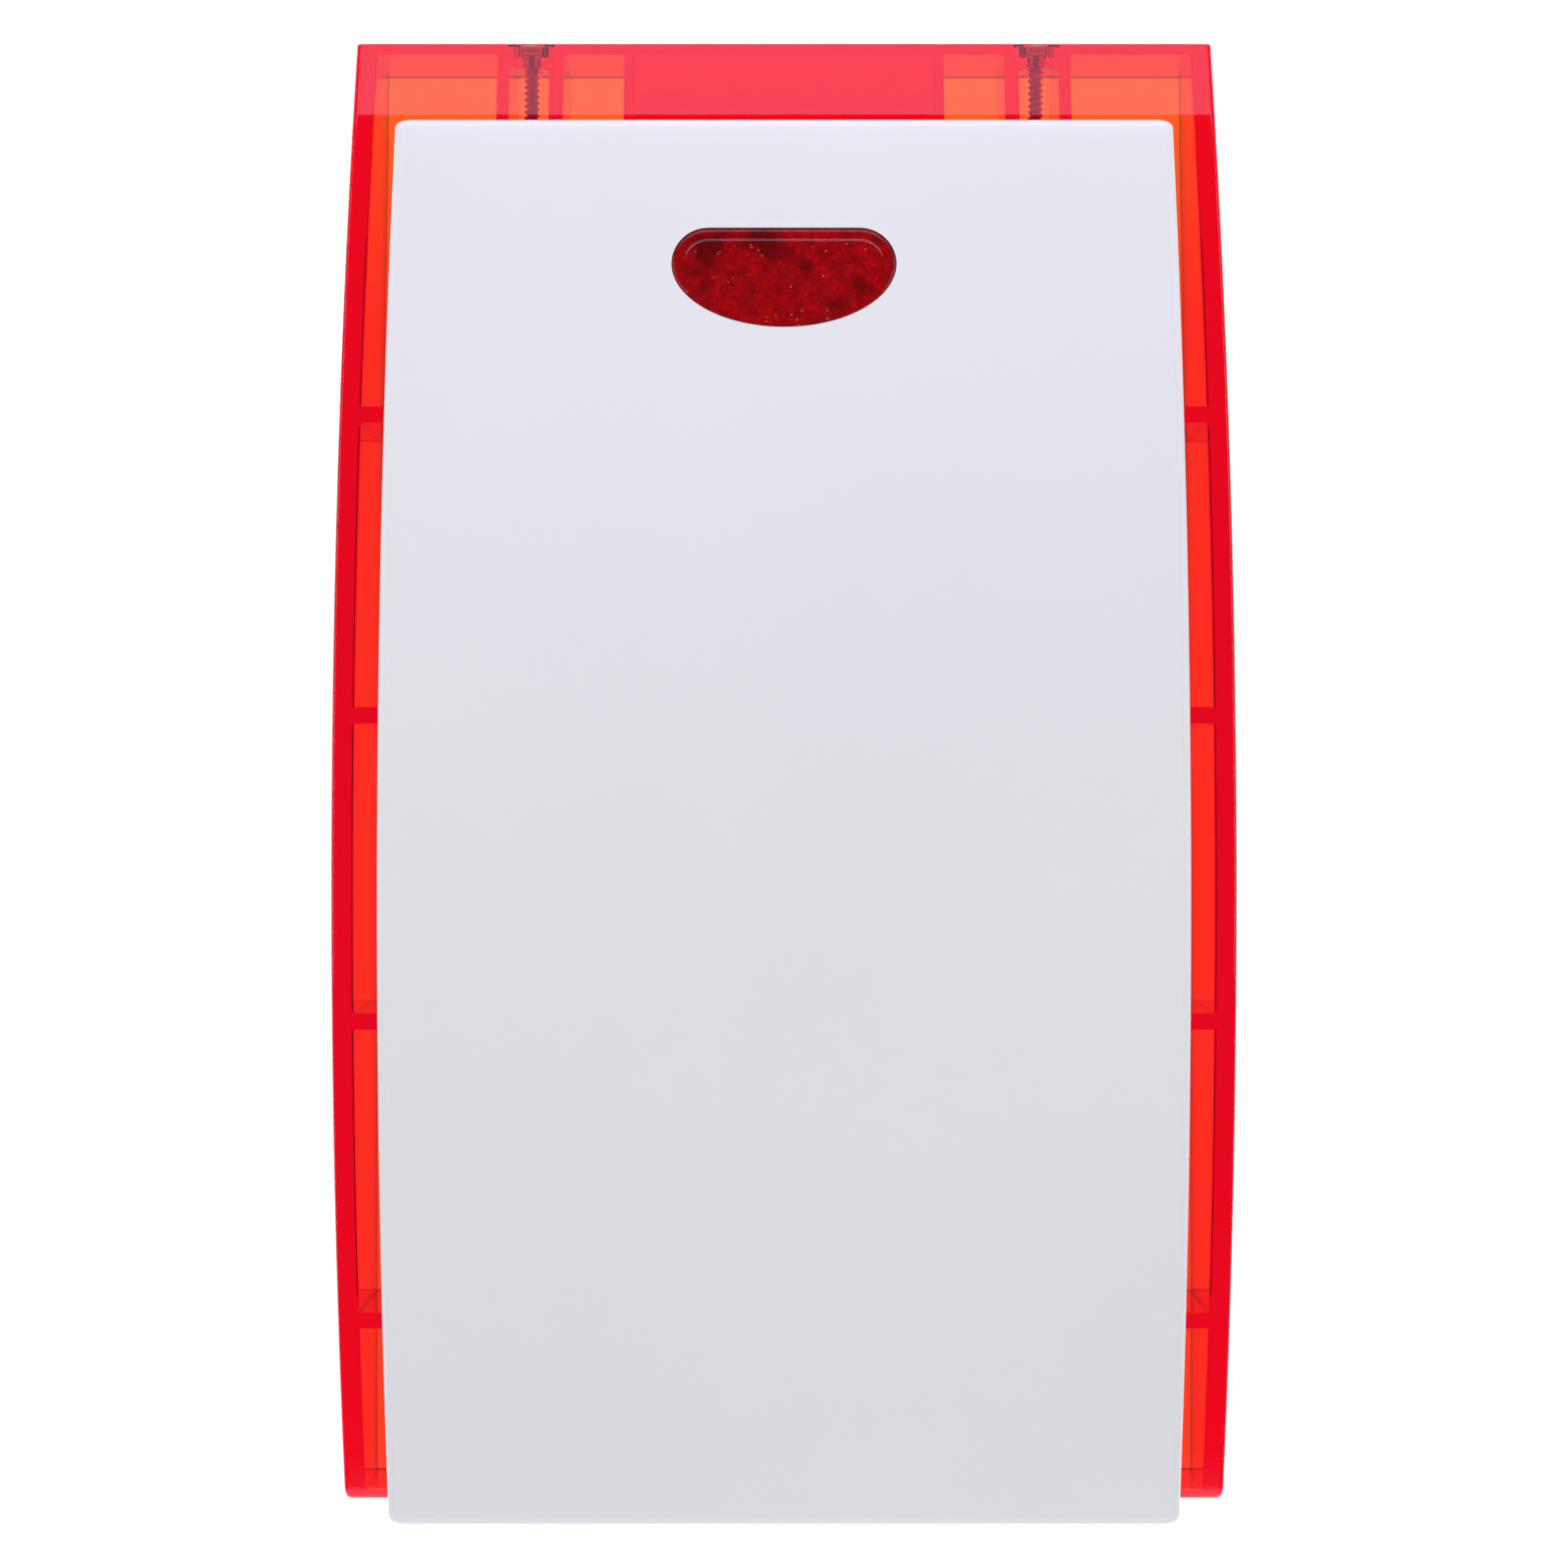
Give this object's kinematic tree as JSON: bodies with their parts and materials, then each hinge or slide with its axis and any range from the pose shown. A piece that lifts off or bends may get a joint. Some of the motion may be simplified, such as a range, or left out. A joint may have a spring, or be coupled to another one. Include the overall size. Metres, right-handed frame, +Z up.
{
  "type": "horn strobe",
  "caption": "Wall-mounted outdoor horn strobe: a translucent red housing under a tall, bowed white front cover with a D-shaped red strobe window, tilting down on hinge pins.",
  "frame": {"origin": "centre of the back plate's flat rear face, where it meets the wall", "axes": "+Z up, +Y into the wall, +X to the right of someone facing the device; the front faces -Y"},
  "size_m": [0.1918, 0.0648, 0.3228],
  "materials": {
    "cover_white": "smooth moulded, high gloss",
    "red_translucent": "clear-tinted polycarbonate, polished",
    "lens_red": "clear-tinted, prismatic inside",
    "plate_white": "fine moulded texture",
    "black_plastic": "fine moulded texture",
    "sleeve_black": "shrink sleeve",
    "rubber_black": "matte",
    "steel": "zinc plated",
    "board_green": "solder mask",
    "board_white": "white solder mask",
    "terminal_green": "moulded",
    "ferrite": "sintered ferrite",
    "copper": "enamelled copper wire",
    "led_resin": "clear resin over phosphor",
    "reflector_chrome": "metallised plastic",
    "cell_wrap": "shrink wrap",
    "lead_red": "flexible sheath",
    "aluminium": "thin spun sheet"
  },
  "bodies": {
    "base": {"back_plate": "plate_white", "cable_grommet": "rubber_black", "red_housing": "red_translucent", "centre_red_panel": "red_translucent", "hinge_pin_left": "steel", "hinge_pin_right": "steel", "main_circuit_board": "board_green", "terminal_block": "terminal_green", "capacitor_1": "sleeve_black", "capacitor_2": "sleeve_black", "transformer_core": "ferrite", "transformer_winding": "copper", "controller_chip": "black_plastic", "battery_socket": "plate_white", "strobe_socket": "plate_white", "horn_socket": "plate_white", "cover_tamper_switch": "black_plastic", "wall_tamper_switch": "black_plastic", "strobe_board": "board_white", "strobe_led_1": "led_resin", "strobe_led_2": "led_resin", "strobe_led_3": "led_resin", "strobe_reflector": "reflector_chrome", "battery_pack": "cell_wrap", "battery_strap": "plate_white", "battery_lead": "lead_red", "strobe_lead": "lead_red", "horn_lead": "lead_red", "horn_bell": "black_plastic", "horn_flare": "black_plastic", "horn_throat": "black_plastic", "horn_gasket": "rubber_black", "horn_driver_body": "black_plastic", "horn_magnet": "ferrite", "horn_diaphragm": "aluminium", "housing_screw_1": "steel", "housing_screw_2": "steel", "housing_screw_3": "steel", "housing_screw_4": "steel", "board_screw_1": "steel", "board_screw_2": "steel", "board_screw_3": "steel", "board_screw_4": "steel", "strobe_board_screw_1": "steel", "strobe_board_screw_2": "steel", "strap_screw_1": "steel", "strap_screw_2": "steel", "horn_screw_1": "steel", "horn_screw_2": "steel"},
    "cover": {"front_cover": "cover_white", "cover_fork_left": "cover_white", "cover_fork_right": "cover_white", "strobe_lens": "lens_red", "lens_seal": "rubber_black", "lens_retainer": "cover_white"},
    "left_screw": {"cover_screw_left": "steel"},
    "right_screw": {"cover_screw_right": "steel"},
    "cover_plunger": {"cover_tamper_plunger": "plate_white"},
    "wall_plunger": {"wall_tamper_plunger": "plate_white"}
  },
  "joints": [
    {"name": "cover_hinge", "type": "hinge", "parent": "base", "child": "cover", "pos_m": [0, -0.022, -0.159], "axis": [1, 0, 0], "range_deg": [0, 80]},
    {"name": "left_screw_travel", "type": "slide", "parent": "base", "child": "left_screw", "axis": [0, 0, 1], "range_m": [0, 0.012]},
    {"name": "right_screw_travel", "type": "slide", "parent": "base", "child": "right_screw", "axis": [0, 0, 1], "range_m": [0, 0.012]},
    {"name": "cover_plunger_travel", "type": "slide", "parent": "base", "child": "cover_plunger", "axis": [0, 1, 0], "range_m": [0, 0.0025], "stiffness_N_per_m": 200},
    {"name": "wall_plunger_travel", "type": "slide", "parent": "base", "child": "wall_plunger", "axis": [0, -1, 0], "range_m": [0, 0.002], "stiffness_N_per_m": 200}
  ]
}
